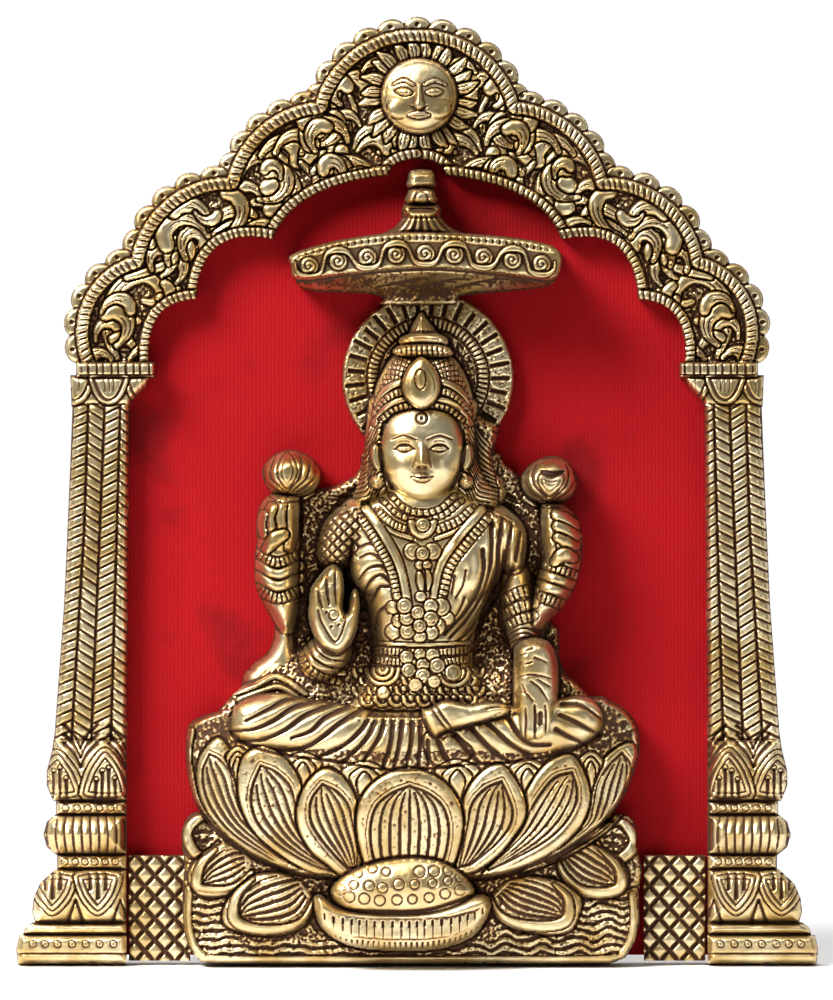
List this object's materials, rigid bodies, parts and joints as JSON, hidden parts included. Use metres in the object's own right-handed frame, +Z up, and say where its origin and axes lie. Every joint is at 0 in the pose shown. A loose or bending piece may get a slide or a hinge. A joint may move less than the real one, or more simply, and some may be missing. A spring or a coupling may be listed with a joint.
{
  "type": "deity wall plaque",
  "caption": "Cast metal wall plaque of a four-armed goddess seated on a lotus under a parasol, inside a lobed arch on pillars, on a cloth-covered board.",
  "frame": {"origin": "middle of the backing board's back face, where the plaque meets the wall", "axes": "+Z up the plaque, +Y into the wall, -Y out of the front, +X to the viewer's right"},
  "size_m": [0.278, 0.0389, 0.33],
  "materials": {
    "antique_gold_frame": "gold-plated white-metal casting, polished on its high places, with black-brown patina left in the carving",
    "antique_gold_figure": "gold-plated white-metal casting, polished on its high places, with black-brown patina left in the carving and a stippled dark ground",
    "red_cloth": "bright red finely ribbed cloth glued flat, with a few dark smudges",
    "board": "plain dark brown fibreboard"
  },
  "bodies": {
    "root": {"arch_frame": "antique_gold_frame", "lakshmi_figure": "antique_gold_figure", "backing_cloth": "red_cloth", "backing_board": "board"}
  },
  "joints": []
}
